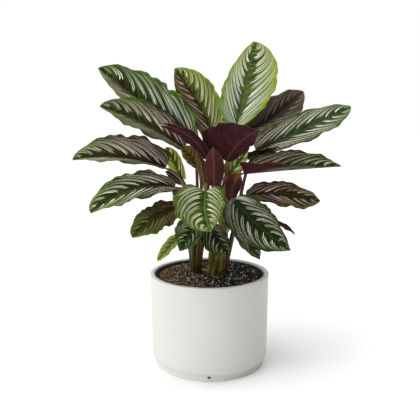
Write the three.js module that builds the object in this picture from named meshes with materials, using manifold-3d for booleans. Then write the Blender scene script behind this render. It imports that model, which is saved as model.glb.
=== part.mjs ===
// Potted calathea: a white cachepot, the nursery pot and soil inside it, and a plant of two stem
// clumps that carry broad, striped leaves. Millimetres, +Z up, +X right, the front towards -Y.
// The origin is the middle of the pot's flat underside.
import * as THREE from 'three';
import { mergeVertices } from 'three/addons/utils/BufferGeometryUtils.js';
import Module from 'manifold-3d';

const wasm = await Module();
wasm.setup();

// ---- Driving dimensions -----------------------------------------------------------------------

const GAP = 0.3; // clearance between pieces that meet face to face

// Cachepot, sized to take a 17 cm nursery pot.
const POT_HEIGHT = 148;
const POT_TOP_RADIUS = 95;
const POT_LOW_RADIUS = 93; // at the top of the rounded lower edge
const FOOT_RADIUS = 88;
const FOOT_HEIGHT = 9.5;
const LOW_EDGE_HEIGHT = 10.5; // the rounded edge between the foot and the wall
const RIM_THICKNESS = 7.3;
const RIM_ROUND = 1.6;
const FLOOR = 4; // inside floor above the underside
const INNER_FOOT_RADIUS = 80;
const OVERFLOW_WIDTH = 6;
const OVERFLOW_HEIGHT = 4;
const OVERFLOW_Z = 6.3; // middle of the overflow hole in the front of the foot
const POT_SIDES = 52;

// Nursery pot: thin moulded plastic with a stiffening band at its mouth.
const NURSERY_TOP = 146;
const NURSERY_LIP_RADIUS = 86;
const NURSERY_LIP_HEIGHT = 9;
const NURSERY_WALL = 1.4;
const NURSERY_BAND_STEP = 2.2; // how far the band stands out from the wall below it
const NURSERY_BASE_RADIUS = 66;
const DRAIN_RADIUS = 5;
const DRAIN_RING = 42;
const DRAIN_COUNT = 5;
const NURSERY_SIDES = 36;

// Soil and the grit spread on it.
const SOIL_EDGE = 142;
const SOIL_MIDDLE = 143;
const SOIL_SIDES = 36;
const GRIT_COUNT = 56;
const GRIT_SMALL = 1.8;
const GRIT_LARGE = 3.4;
const GRIT_SEED = 7;

// Stem clumps, where they stand in the soil. Each sits in a plain hole of its own outline.
const CLUMP_DEPTH = 30; // below the soil surface
const CLUMP_RISE = 8; // above it
const CLUMPS = {
  stems_left: { x: -21, y: 14, halfWidth: 9, halfDepth: 9 },
  stems_right: { x: 10, y: 2, halfWidth: 17, halfDepth: 11 },
};
const CLUMP_SIDES = 14;
const SHOOT_CLUMP = 'stems_right';
const SHOOT_FOOT = [2, -4, 148];
const SHOOT_TIP = [-13, -6, 154];
const SHOOT_RADIUS = 1.9;

// Leaf stalks: thick and sheathing low down, slender under the leaf.
const STALK_TIP_RADIUS = 1.8;
const STALK_FOOT_RADIUS = 4.6;
const STALK_SIDES = 6;
const STALK_STEPS = 8;
const STALK_GAP = 0.8; // from the stalk's end to the blade's base

// Leaf blades.
const BLADE_THICKNESS = 0.8;
const RIDGE = 0.9; // midrib under the blade
const BASE_HALF = 1.6; // half width where the stalk meets the blade
const TIP_HALF = 0.9;

// ---- Leaf table -------------------------------------------------------------------------------
// base, mid and tip are points of the midrib, and face is the way the upper side looks. halves are
// the half widths to the left and right of the midrib, seen from above with the tip ahead. fold
// is how far the halves rise at the base and at the tip, in degrees. widest is where along the
// midrib each half is widest. blunt rounds the tip and heel the base: lower is rounder. lobe is
// how far each half reaches back past the base.

const LEAF_DEFAULTS = {
  fold: [35, 15],
  curl: 15,
  twist: 0,
  wave: 3,
  waves: 3,
  widest: [0.42, 0.42],
  blunt: [0.95, 0.95],
  heel: [0.5, 0.5],
  lobe: [4, 4],
  lean: 0.85,
  climb: 0.45,
  arch: 0.35,
  fine: true,
};

const LEAVES = {
  leaf_upper_left: {
    base: [-31, 20, 367], mid: [-103, 35, 414], tip: [-177, 45, 470],
    face: [0.0, -0.8, 0.6], halves: [24, 46], fold: [35, 15],
    widest: [0.45, 0.5], heel: [0.5, 0.35], blunt: [0.9, 0.65], wave: 3.5, waves: 3.5,
    clump: 'stems_left',
  },
  leaf_left_high: {
    base: [-40, 0, 346], mid: [-100, -10, 384], tip: [-166, -15, 411],
    face: [-0.1, -0.7, 0.7], halves: [22, 36], fold: [40, 20], widest: [0.45, 0.55], blunt: [1, 0.7],
    clump: 'stems_left',
  },
  leaf_left_mid: {
    base: [-66, -35, 319], mid: [-133, -55, 337], tip: [-201, -60, 334],
    face: [-0.1, -0.75, 0.65], halves: [12, 36], fold: [50, 20],
    widest: [0.4, 0.42], blunt: [0.9, 0.7], heel: [0.5, 0.3],
    clump: 'stems_left',
  },
  leaf_left_low: {
    base: [-51, -50, 292], mid: [-111, -85, 294], tip: [-170, -95, 261],
    face: [-0.1, -0.8, 0.6], halves: [24, 26], fold: [40, 15], widest: [0.38, 0.55], blunt: [1, 0.45],
    clump: 'stems_left',
  },
  leaf_left_foot: {
    base: [-44, -60, 265], mid: [-77, -85, 253], tip: [-110, -100, 226],
    face: [-0.2, -0.85, 0.5], halves: [26, 21], fold: [30, 15], widest: [0.45, 0.6], blunt: [0.95, 0.5],
    clump: 'stems_left',
  },
  leaf_left_small: {
    base: [-47, 10, 204], mid: [-64, 5, 189], tip: [-83, 0, 166],
    face: [-0.4, -0.7, 0.6], halves: [11, 12], fold: [25, 10], blunt: [0.5, 0.5], wave: 1,
    clump: 'stems_left', fine: false,
  },
  leaf_front_left: {
    base: [-18, -80, 249], mid: [-28, -105, 231], tip: [-42, -115, 210],
    face: [-0.1, -0.95, 0.3], halves: [16, 24], fold: [20, 10], wave: 1.5,
    clump: 'stems_left', fine: false,
  },
  leaf_front: {
    base: [-6, -100, 293], mid: [-6, -125, 268], tip: [2, -145, 244],
    face: [0, -0.85, 0.5], halves: [30, 44], fold: [35, 10], widest: [0.3, 0.34], lobe: [10, 8], wave: 2,
    clump: 'stems_left',
  },
  leaf_front_right: {
    base: [-1, -70, 240], mid: [15, -95, 220], tip: [29, -105, 201],
    face: [0.1, -0.95, 0.3], halves: [14, 24], fold: [20, 10], wave: 1.5,
    clump: 'stems_left', fine: false,
  },
  leaf_right_low: {
    base: [36, -70, 277], mid: [68, -95, 245], tip: [115, -115, 211],
    face: [0.1, -0.9, 0.5], halves: [30, 38], fold: [25, 10], wave: 2.5, arch: 0.12,
    clump: 'stems_right',
  },
  leaf_right_behind: {
    base: [69, 20, 238], mid: [113, 10, 224], tip: [137, 10, 207],
    face: [0.3, 0.6, 0.8], halves: [9, 9], fold: [20, 10], wave: 1,
    clump: 'stems_right', fine: false,
  },
  leaf_right_under: {
    base: [41, -20, 226], mid: [58, -40, 205], tip: [77, -50, 181],
    face: [0.2, -0.8, 0.5], halves: [20, 13], fold: [25, 10], wave: 1.5,
    clump: 'stems_right', fine: false,
  },
  leaf_right_mid: {
    base: [57, -20, 274], mid: [110, -40, 281], tip: [167, -45, 271],
    face: [0.0, -0.8, 0.6], halves: [20, 24], fold: [35, 12],
    widest: [0.42, 0.66], blunt: [0.8, 0.7], heel: [0.5, 0.7],
    clump: 'stems_right',
  },
  leaf_right_high: {
    base: [52, -35, 311], mid: [129, -50, 319], tip: [197, -45, 323],
    face: [0.0, -0.15, 1], halves: [40, 22], fold: [62, 38], twist: -34,
    widest: [0.3, 0.12], blunt: [0.85, 1.3], heel: [0.5, 0.25], lobe: [4, 10], wave: 2, waves: 3.5,
    clump: 'stems_right',
  },
  leaf_upper_right: {
    base: [73, 0, 341], mid: [146, 5, 375], tip: [218, 5, 411],
    face: [0.0, -0.85, 0.5], halves: [28, 23], fold: [35, 12],
    widest: [0.42, 0.62], heel: [0.2, 0.5], blunt: [0.8, 0.5], lean: 1.1, arch: 0.12,
    clump: 'stems_right',
  },
  leaf_back_right: {
    base: [56, 50, 368], mid: [108, 65, 393], tip: [155, 80, 434],
    face: [0.0, -0.8, 0.6], halves: [32, 30], fold: [35, 15], widest: [0.55, 0.5], blunt: [0.6, 0.7],
    clump: 'stems_right',
  },
  leaf_top: {
    base: [43, 35, 380], mid: [59, 45, 445], tip: [70, 40, 511],
    face: [-0.05, -1, 0.2], halves: [37, 47], fold: [30, 8],
    widest: [0.28, 0.6], blunt: [0.85, 0.5], heel: [0.5, 0.75], wave: 1.5,
    clump: 'stems_right',
  },
  leaf_top_left: {
    base: [3, 45, 373], mid: [-23, 60, 426], tip: [-56, 60, 470],
    face: [0.1, -0.95, 0.3], halves: [26, 34], fold: [30, 15],
    widest: [0.6, 0.45], heel: [0.15, 0.35], blunt: [0.9, 0.75], lobe: [18, 5], wave: 2, arch: 0.12,
    clump: 'stems_left',
  },
  leaf_centre_right: {
    base: [26, -40, 330], mid: [43, -60, 358], tip: [72, -70, 379],
    face: [0.2, 0.9, 0.5], halves: [18, 50], fold: [20, 10],
    widest: [0.55, 0.3], heel: [0.5, 0.35], blunt: [0.8, 1.5], lobe: [2, 8], wave: 3, waves: 2.5,
    clump: 'stems_right',
  },
  leaf_centre_left: {
    base: [-2, -46, 332], mid: [-28, -60, 368], tip: [-75, -68, 387],
    face: [-0.1, 0.8, 0.6], halves: [9, 14], fold: [30, 15], widest: [0.45, 0.35], lobe: [1, 1], wave: 2,
    clump: 'stems_left',
  },
  leaf_furled_left: {
    base: [7, -72, 297], mid: [7, -77, 326], tip: [5, -80, 354],
    face: [0.1, 1, 0.1], halves: [17, 18], fold: [42, 38], widest: [0.42, 0.42], wave: 1.5,
    clump: 'stems_right', fine: false,
  },
  leaf_furled_right: {
    base: [33, -46, 272], mid: [35, -50, 292], tip: [45, -52, 313],
    face: [0.1, 1, 0.1], halves: [15, 16], fold: [45, 45], widest: [0.62, 0.62], blunt: [0.7, 0.7], wave: 1.5,
    clump: 'stems_right', fine: false,
  },
  leaf_shaded_right: {
    base: [58, -11, 333], mid: [84, -13.7, 340], tip: [106, -17.2, 351],
    face: [0.0, 0.6, 0.8], halves: [11.5, 12], fold: [20, 10], widest: [0.25, 0.15], wave: 1,
    clump: 'stems_right', fine: false,
  },
  leaf_inner_right: {
    base: [29, -20, 305], mid: [42, -20, 323], tip: [59, -20, 345],
    face: [0.1, -0.95, 0.3], halves: [13, 14], fold: [35, 30], wave: 1.5,
    clump: 'stems_right', fine: false,
  },
  leaf_inner_left: {
    base: [-42, 10, 295], mid: [-56, 20, 321], tip: [-69, 25, 346],
    face: [0.1, -0.95, 0.3], halves: [12, 13], fold: [30, 20],
    widest: [0.55, 0.6], blunt: [0.6, 0.6], wave: 1.5,
    clump: 'stems_left', fine: false,
  },
  leaf_rear_left: {
    base: [-29, 60, 355], mid: [-51, 120, 399], tip: [-78, 175, 426],
    face: [0.1, 0.5, 0.9], halves: [24, 24], fold: [35, 15],
    clump: 'stems_left', fine: false,
  },
  leaf_rear_right: {
    base: [50, 60, 363], mid: [74, 125, 392], tip: [96, 185, 404],
    face: [-0.1, 0.5, 0.9], halves: [26, 24], fold: [35, 15],
    clump: 'stems_right', fine: false,
  },
  leaf_rear: {
    base: [10, 70, 337], mid: [15, 130, 378], tip: [31, 200, 386],
    face: [0, 0.5, 0.9], halves: [28, 28], fold: [35, 15],
    clump: 'stems_right', fine: false,
  },
  leaf_rear_low_left: {
    base: [-27, 62, 262], mid: [-44, 100, 264], tip: [-62, 140, 240],
    face: [-0.1, 0.4, 0.9], halves: [19, 20], fold: [35, 15],
    clump: 'stems_left', fine: false,
  },
  leaf_rear_low_right: {
    base: [34, 58, 248], mid: [48, 98, 250], tip: [62, 142, 222],
    face: [0.1, 0.4, 0.9], halves: [21, 20], fold: [35, 15],
    clump: 'stems_right', fine: false,
  },
  leaf_inner_small: {
    base: [-19, -5, 317], mid: [-30, -8, 333], tip: [-43, -12, 348],
    lobe: [1, 1], face: [0.1, -0.9, 0.4], halves: [10, 15], widest: [0.5, 0.62], blunt: [0.6, 0.6], wave: 1.5,
    clump: 'stems_left', fine: false,
  },
  leaf_rolled_left: {
    base: [-6, -56, 294], mid: [-11, -60, 322], tip: [-18, -64, 348],
    lobe: [1, 1], face: [0.1, 1, 0.1], halves: [8, 8], fold: [45, 40], widest: [0.5, 0.5], wave: 1,
    clump: 'stems_left', fine: false,
  },
  leaf_furled_low: {
    base: [-43, -12, 291], mid: [-55, -14, 303], tip: [-68, -16, 312],
    lobe: [1, 1], face: [-0.2, 0.9, 0.4], halves: [9, 8], fold: [35, 30], wave: 1,
    clump: 'stems_left', fine: false,
  },
};

for (const [name, leaf] of Object.entries(LEAVES)) LEAVES[name] = { ...LEAF_DEFAULTS, ...leaf };

// ---- Solids -----------------------------------------------------------------------------------

function bare(geometry) {
  const copy = geometry.index ? geometry.clone() : geometry;
  for (const name of Object.keys(copy.attributes)) {
    if (name !== 'position') copy.deleteAttribute(name);
  }
  return mergeVertices(copy, 1e-4);
}

function toManifold(geometry) {
  const merged = bare(geometry);
  return new wasm.Manifold(new wasm.Mesh({
    numProp: 3,
    vertProperties: new Float32Array(merged.attributes.position.array),
    triVerts: new Uint32Array(merged.index.array),
  }));
}

function toGeometry(manifold) {
  const mesh = manifold.getMesh();
  const geometry = new THREE.BufferGeometry();
  geometry.setAttribute('position', new THREE.BufferAttribute(new Float32Array(mesh.vertProperties), 3));
  geometry.setIndex(new THREE.BufferAttribute(new Uint32Array(mesh.triVerts), 1));
  return geometry;
}

function indexed(points, triangles) {
  const geometry = new THREE.BufferGeometry();
  const flat = points.flatMap((p) => [p.x, p.y, p.z]);
  geometry.setAttribute('position', new THREE.Float32BufferAttribute(flat, 3));
  geometry.setIndex(triangles);
  return geometry;
}

// A profile of [radius, height] pairs turned about the Z axis. The profile runs up the outside.
function turned(profile, sides) {
  const points = profile.map(([radius, height]) => new THREE.Vector2(radius, height));
  const geometry = new THREE.LatheGeometry(points, sides);
  geometry.rotateX(Math.PI / 2);
  return bare(geometry);
}

// Rings of points joined by quads and closed by a fan at each end.
function ringSolid(rings) {
  const sides = rings[0].length;
  const points = rings.flat();
  const triangles = [];
  for (let i = 0; i + 1 < rings.length; i += 1) {
    for (let j = 0; j < sides; j += 1) {
      const a = i * sides + j;
      const b = i * sides + ((j + 1) % sides);
      triangles.push(a, b, b + sides, a, b + sides, a + sides);
    }
  }
  const last = (rings.length - 1) * sides;
  for (let j = 1; j + 1 < sides; j += 1) {
    triangles.push(0, j + 1, j, last, last + j, last + j + 1);
  }
  return indexed(points, triangles);
}

function ellipseRing(shape, height, grow) {
  const ring = [];
  for (let j = 0; j < CLUMP_SIDES; j += 1) {
    const angle = (2 * Math.PI * j) / CLUMP_SIDES;
    ring.push(new THREE.Vector3(
      shape.x + (shape.halfWidth + grow) * Math.cos(angle),
      shape.y + (shape.halfDepth + grow) * Math.sin(angle),
      height,
    ));
  }
  return ring;
}

function clumpColumn(shape, low, high, grow) {
  return ringSolid([ellipseRing(shape, low, grow), ellipseRing(shape, high, grow)]);
}

// ---- Pot, nursery pot and soil ----------------------------------------------------------------

function cachepot() {
  const edgeTop = FOOT_HEIGHT + LOW_EDGE_HEIGHT;
  const outer = [[0, 0], [FOOT_RADIUS - 0.8, 0], [FOOT_RADIUS, 0.8], [FOOT_RADIUS, FOOT_HEIGHT]];
  for (let i = 1; i <= 4; i += 1) {
    const angle = (i / 4) * (Math.PI / 2);
    outer.push([
      FOOT_RADIUS + (POT_LOW_RADIUS - FOOT_RADIUS) * Math.sin(angle),
      edgeTop - LOW_EDGE_HEIGHT * Math.cos(angle),
    ]);
  }
  const rimInner = POT_TOP_RADIUS - RIM_THICKNESS;
  const rim = [
    [POT_TOP_RADIUS, POT_HEIGHT - RIM_ROUND],
    [POT_TOP_RADIUS - 0.5, POT_HEIGHT - 0.5],
    [POT_TOP_RADIUS - RIM_ROUND, POT_HEIGHT],
    [rimInner + RIM_ROUND, POT_HEIGHT],
    [rimInner + 0.5, POT_HEIGHT - 0.5],
    [rimInner, POT_HEIGHT - RIM_ROUND],
  ];
  const inner = [
    [INNER_FOOT_RADIUS + 4.5, edgeTop],
    [INNER_FOOT_RADIUS, FLOOR + 4],
    [INNER_FOOT_RADIUS - 3, FLOOR],
    [0, FLOOR],
  ];
  const body = toManifold(turned([...outer, ...rim, ...inner], POT_SIDES));
  return toGeometry(body.subtract(toManifold(overflowHole())));
}

// An oval bore through the front of the foot, just above the inside floor.
function overflowHole() {
  const bore = new THREE.CylinderGeometry(OVERFLOW_WIDTH / 2, OVERFLOW_WIDTH / 2, 30, 20);
  bore.scale(1, 1, OVERFLOW_HEIGHT / OVERFLOW_WIDTH);
  bore.translate(0, -FOOT_RADIUS, OVERFLOW_Z);
  return bore;
}

function nurseryWallRadius(height) {
  const low = FLOOR + GAP;
  const bandFoot = NURSERY_TOP - NURSERY_LIP_HEIGHT;
  const top = NURSERY_LIP_RADIUS - NURSERY_BAND_STEP;
  return NURSERY_BASE_RADIUS + (top - NURSERY_BASE_RADIUS) * ((height - low) / (bandFoot - low));
}

function nurseryPot() {
  const low = FLOOR + GAP;
  const bandFoot = NURSERY_TOP - NURSERY_LIP_HEIGHT;
  const lipInner = NURSERY_LIP_RADIUS - NURSERY_WALL;
  const profile = [
    [0, low],
    [NURSERY_BASE_RADIUS, low],
    [nurseryWallRadius(bandFoot), bandFoot],
    [NURSERY_LIP_RADIUS, bandFoot],
    [NURSERY_LIP_RADIUS, NURSERY_TOP - 0.5],
    [NURSERY_LIP_RADIUS - 0.5, NURSERY_TOP],
    [lipInner, NURSERY_TOP],
    [lipInner, bandFoot + NURSERY_WALL],
    [nurseryWallRadius(bandFoot) - NURSERY_WALL, bandFoot],
    [NURSERY_BASE_RADIUS - NURSERY_WALL, low + NURSERY_WALL],
    [0, low + NURSERY_WALL],
  ];
  let body = toManifold(turned(profile, NURSERY_SIDES));
  for (let i = 0; i < DRAIN_COUNT; i += 1) {
    const angle = (2 * Math.PI * i) / DRAIN_COUNT;
    const drain = new THREE.CylinderGeometry(DRAIN_RADIUS, DRAIN_RADIUS, 12, 8);
    drain.rotateX(Math.PI / 2);
    drain.translate(DRAIN_RING * Math.cos(angle), DRAIN_RING * Math.sin(angle), low);
    body = body.subtract(toManifold(drain));
  }
  return toGeometry(body);
}

function soilSurface(radius) {
  const edge = NURSERY_LIP_RADIUS;
  return SOIL_EDGE + (SOIL_MIDDLE - SOIL_EDGE) * (1 - (radius / edge) ** 2);
}

// A small generator of repeatable random numbers between 0 and 1.
function seeded(seed) {
  let state = seed;
  return () => {
    state = (state * 16807) % 2147483647;
    return state / 2147483647;
  };
}

function nearClump(x, y) {
  return Object.values(CLUMPS).some((c) => {
    const u = (x - c.x) / (c.halfWidth + 6);
    const v = (y - c.y) / (c.halfDepth + 6);
    return u * u + v * v < 1;
  });
}

function gritGrains() {
  const random = seeded(GRIT_SEED);
  const grains = [];
  while (grains.length < GRIT_COUNT) {
    const radius = 74 * Math.sqrt(random());
    const angle = 2 * Math.PI * random();
    const x = radius * Math.cos(angle);
    const y = radius * Math.sin(angle);
    const size = GRIT_SMALL + (GRIT_LARGE - GRIT_SMALL) * random();
    const grain = new THREE.OctahedronGeometry(size, 0);
    grain.rotateZ(3 * random());
    grain.rotateX(0.5 * random());
    grain.scale(1, 1, 0.8);
    grain.translate(x, y, soilSurface(radius) - 0.1 * size);
    if (!nearClump(x, y)) grains.push(grain);
  }
  return grains;
}

function soil() {
  const low = FLOOR + GAP + NURSERY_WALL + GAP;
  const wall = (height) => nurseryWallRadius(height) - NURSERY_WALL - GAP;
  const bandFoot = NURSERY_TOP - NURSERY_LIP_HEIGHT;
  const edge = NURSERY_LIP_RADIUS - NURSERY_WALL - GAP;
  const profile = [
    [0, low],
    [wall(low) - 0.5, low],
    [wall(bandFoot) - 0.5, bandFoot - 0.5],
    [edge, bandFoot + NURSERY_WALL + 2 * GAP],
    [edge, SOIL_EDGE],
  ];
  for (const radius of [66, 44, 22]) profile.push([radius, soilSurface(radius)]);
  profile.push([0, SOIL_MIDDLE]);
  let body = toManifold(turned(profile, SOIL_SIDES));
  for (const grain of gritGrains()) body = body.add(toManifold(grain));
  for (const shape of Object.values(CLUMPS)) {
    const hole = clumpColumn(shape, SOIL_MIDDLE - CLUMP_DEPTH - GAP, SOIL_MIDDLE + 20, GAP);
    body = body.subtract(toManifold(hole));
  }
  return toGeometry(body);
}

// ---- Leaves -----------------------------------------------------------------------------------

function vec(list) {
  return new THREE.Vector3(...list);
}

function rad(degrees) {
  return (degrees * Math.PI) / 180;
}

function between(list, amount) {
  return list[0] + (list[1] - list[0]) * amount;
}

// The midrib is a quadratic curve from base to tip that passes through mid.
function midrib(leaf) {
  const base = vec(leaf.base);
  const tip = vec(leaf.tip);
  const bend = vec(leaf.mid).multiplyScalar(2).addScaledVector(base, -0.5).addScaledVector(tip, -0.5);
  return new THREE.QuadraticBezierCurve3(base, bend, tip);
}

function squareTo(direction, axis) {
  return direction.clone().addScaledVector(axis, -direction.dot(axis)).normalize();
}

// Half width as a share of the widest: rounded at the base, drawn out at the tip.
function outline(s, widest, heel, blunt) {
  const u = s < widest ? (widest - s) / widest : (s - widest) / (1 - widest);
  return (1 - u * u) ** (s < widest ? heel : blunt);
}

// The directions at one place of the midrib: along it, across it and up out of the blade.
function bladeFrame(leaf, curve, s) {
  const chord = vec(leaf.tip).sub(vec(leaf.base)).normalize();
  const along = curve.getTangent(s);
  const up = squareTo(squareTo(vec(leaf.face), chord), along);
  const across = along.clone().cross(up);
  const turn = rad(leaf.twist) * (s - 0.5);
  return {
    along,
    up: up.clone().multiplyScalar(Math.cos(turn)).addScaledVector(across, -Math.sin(turn)),
    across: across.clone().multiplyScalar(Math.cos(turn)).addScaledVector(up, Math.sin(turn)),
  };
}

// A point of the blade's middle surface: s runs from base to tip, t from -1 to 1 across.
function bladePoint(leaf, curve, s, t) {
  const side = t < 0 ? 0 : 1;
  const reach = Math.abs(t);
  const share = outline(s, leaf.widest[side], leaf.heel[side], leaf.blunt[side]);
  const half = Math.hypot(leaf.halves[side] * share, between([BASE_HALF, TIP_HALF], s));
  const lift = rad(between(leaf.fold, 1 - (1 - s) ** 2)) - (rad(leaf.curl) * reach) / 2;
  const phase = t > 0 ? 0 : 2.2;
  const edge = Math.sqrt(Math.max(Math.sin(Math.PI * s), 0)) * reach ** 2;
  const ripple = leaf.wave * edge * Math.sin(2 * Math.PI * leaf.waves * (s - 0.25 * reach) + phase);
  const back = leaf.lobe[side] * (s / 0.07) * Math.exp(1 - s / 0.07) * reach ** 2;
  const { along, across, up } = bladeFrame(leaf, curve, s);
  return curve.getPoint(s)
    .addScaledVector(across, t * half * Math.cos(lift))
    .addScaledVector(up, reach * half * Math.sin(lift) + ripple)
    .addScaledVector(along, -back);
}

// The end rows are small copies of their neighbours, so the blade doesn't fold over there.
function bladeGrid(leaf, rows, columns) {
  const curve = midrib(leaf);
  const grid = [];
  for (let i = 1; i < rows; i += 1) {
    const s = (1 - Math.cos((Math.PI * i) / rows)) / 2;
    const row = [];
    for (let j = 0; j <= columns; j += 1) row.push(bladePoint(leaf, curve, s, (2 * j) / columns - 1));
    grid.push(row);
  }
  const first = shrunk(grid[0], curve.getPoint(0), BASE_HALF);
  const last = shrunk(grid[grid.length - 1], curve.getPoint(1), TIP_HALF);
  return [first, ...grid, last];
}

function shrunk(row, end, half) {
  const share = (2 * half) / row[0].distanceTo(row[row.length - 1]);
  return row.map((point) => end.clone().lerp(point, share));
}

// An end row takes its midrib's normal throughout, because it is barely wider than the blade is thick.
function gridNormal(grid, i, j) {
  const row = Math.min(Math.max(i, 1), grid.length - 2);
  const columns = grid[0].length - 1;
  const column = row === i ? j : columns / 2;
  const ahead = grid[row + 1][column].clone().sub(grid[row - 1][column]);
  const right = grid[row][Math.min(column + 1, columns)].clone().sub(grid[row][Math.max(column - 1, 0)]);
  return right.cross(ahead).normalize();
}

// Both faces share one pattern of triangles, and the rim joins them all round.
function blade(leaf) {
  const rows = leaf.fine ? 12 : 8;
  const columns = leaf.fine ? 6 : 4;
  const grid = bladeGrid(leaf, rows, columns);
  const upper = [];
  const lower = [];
  for (let i = 0; i <= rows; i += 1) {
    for (let j = 0; j <= columns; j += 1) {
      const normal = gridNormal(grid, i, j);
      const ridge = j === columns / 2 ? RIDGE * (1 - 0.7 * (i / rows)) : 0;
      upper.push(grid[i][j].clone().addScaledVector(normal, BLADE_THICKNESS / 2));
      lower.push(grid[i][j].clone().addScaledVector(normal, -BLADE_THICKNESS / 2 - ridge));
    }
  }
  return indexed([...upper, ...lower], bladeTriangles(rows, columns));
}

function bladeTriangles(rows, columns) {
  const wide = columns + 1;
  const under = (rows + 1) * wide;
  const triangles = [];
  for (let i = 0; i < rows; i += 1) {
    for (let j = 0; j < columns; j += 1) {
      const a = i * wide + j;
      const [b, c, d] = [a + 1, a + wide + 1, a + wide];
      const left = j < columns / 2;
      const pair = left ? [[a, b, c], [a, c, d]] : [[a, b, d], [b, c, d]];
      for (const [p, q, r] of pair) {
        triangles.push(p, q, r, under + p, under + r, under + q);
      }
    }
  }
  const rim = rimLoop(rows, columns);
  rim.forEach((a, k) => {
    const b = rim[(k + 1) % rim.length];
    triangles.push(a, under + b, b, a, under + a, under + b);
  });
  return triangles;
}

function rimLoop(rows, columns) {
  const wide = columns + 1;
  const loop = [];
  for (let j = 0; j < columns; j += 1) loop.push(j);
  for (let i = 0; i < rows; i += 1) loop.push(i * wide + columns);
  for (let j = columns; j > 0; j -= 1) loop.push(rows * wide + j);
  for (let i = rows; i > 0; i -= 1) loop.push(i * wide);
  return loop;
}

// ---- Stalks -----------------------------------------------------------------------------------

// Stalks stand side by side in their clump, in the order of the leaves that they carry.
function seat(shape, leaf) {
  const mates = Object.values(LEAVES).filter((other) => other.clump === leaf.clump);
  const rank = (axis) => {
    const before = mates.filter((other) => other.base[axis] < leaf.base[axis]).length;
    return (2 * before) / (mates.length - 1) - 1;
  };
  const place = new THREE.Vector2(rank(0), rank(1));
  if (place.length() > 1) place.normalize();
  return new THREE.Vector3(
    shape.x + place.x * (shape.halfWidth - STALK_FOOT_RADIUS),
    shape.y + place.y * (shape.halfDepth - STALK_FOOT_RADIUS),
    SOIL_MIDDLE + 1.5,
  );
}

// A stalk rises from its clump and ends just short of the blade's base, in line with the midrib.
function stalkCurve(shape, leaf) {
  const base = vec(leaf.base);
  const along = midrib(leaf).getTangent(0);
  const foot = seat(shape, leaf);
  const span = base.distanceTo(foot);
  const out = base.clone().sub(foot).divideScalar(span);
  const rise = new THREE.Vector3(out.x * leaf.lean, out.y * leaf.lean, 1).normalize();
  const end = base.clone().addScaledVector(along, -STALK_GAP);
  return new THREE.CubicBezierCurve3(
    foot,
    foot.clone().addScaledVector(rise, span * leaf.climb),
    end.clone().addScaledVector(along, -span * leaf.arch),
    end,
  );
}

function stalk(shape, leaf) {
  const curve = stalkCurve(shape, leaf);
  const rings = [];
  let side = new THREE.Vector3(1, 0, 0);
  for (let i = 0; i <= STALK_STEPS; i += 1) {
    const u = i / STALK_STEPS;
    const along = curve.getTangent(u);
    side = squareTo(side, along);
    const other = along.clone().cross(side);
    const radius = STALK_TIP_RADIUS + (STALK_FOOT_RADIUS - STALK_TIP_RADIUS) * (1 - u) ** 1.5;
    const centre = curve.getPoint(u);
    const ring = [];
    for (let j = 0; j < STALK_SIDES; j += 1) {
      const angle = (2 * Math.PI * (j + 0.5)) / STALK_SIDES;
      ring.push(centre.clone()
        .addScaledVector(side, radius * Math.cos(angle))
        .addScaledVector(other, radius * Math.sin(angle)));
    }
    rings.push(ring);
  }
  return ringSolid(rings);
}

// A young shoot that leaves the side of its clump just above the soil.
function sideShoot() {
  const foot = vec(SHOOT_FOOT);
  const line = new THREE.LineCurve3(foot, vec(SHOOT_TIP));
  const along = line.getTangent(0);
  const side = squareTo(new THREE.Vector3(0, 0, 1), along);
  const other = along.clone().cross(side);
  const rings = [[0, SHOOT_RADIUS], [0.6, SHOOT_RADIUS], [1, 0.5]].map(([u, radius]) => {
    const ring = [];
    for (let j = 0; j < STALK_SIDES; j += 1) {
      const angle = (2 * Math.PI * j) / STALK_SIDES;
      ring.push(line.getPoint(u)
        .addScaledVector(side, radius * Math.cos(angle))
        .addScaledVector(other, radius * Math.sin(angle)));
    }
    return ring;
  });
  return ringSolid(rings);
}

function stems(name) {
  const shape = CLUMPS[name];
  const column = clumpColumn(shape, SOIL_MIDDLE - CLUMP_DEPTH, SOIL_MIDDLE + CLUMP_RISE, 0);
  let body = toManifold(column);
  for (const leaf of Object.values(LEAVES)) {
    if (leaf.clump === name) body = body.add(toManifold(stalk(shape, leaf)));
  }
  if (name === SHOOT_CLUMP) body = body.add(toManifold(sideShoot()));
  return toGeometry(body);
}

// ---- The object -------------------------------------------------------------------------------

const LOOKS = {
  ceramic: { color: 0xf1f0ed, roughness: 0.5 },
  plastic: { color: 0x2b2c2c, roughness: 0.55 },
  soil: { color: 0x2a2521, roughness: 0.95 },
  stem: { color: 0x3c3319, roughness: 0.5 },
  leaf: { color: 0x3f5b22, roughness: 0.45 },
};

function piece(name, geometry, look) {
  const mesh = new THREE.Mesh(geometry, new THREE.MeshStandardMaterial({ metalness: 0, ...LOOKS[look] }));
  mesh.name = name;
  return mesh;
}

const plant = new THREE.Group();
plant.add(piece('cachepot', cachepot(), 'ceramic'));
plant.add(piece('nursery_pot', nurseryPot(), 'plastic'));
plant.add(piece('soil', soil(), 'soil'));
for (const name of Object.keys(CLUMPS)) plant.add(piece(name, stems(name), 'stem'));
for (const [name, leaf] of Object.entries(LEAVES)) plant.add(piece(name, blade(leaf), 'leaf'));

export default plant;
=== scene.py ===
"""Looks for the potted calathea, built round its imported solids. Lengths in the tables are
millimetres, and what Blender gets is in metres. A colour is a code such as 336699."""
import math
import random
from types import SimpleNamespace

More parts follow.
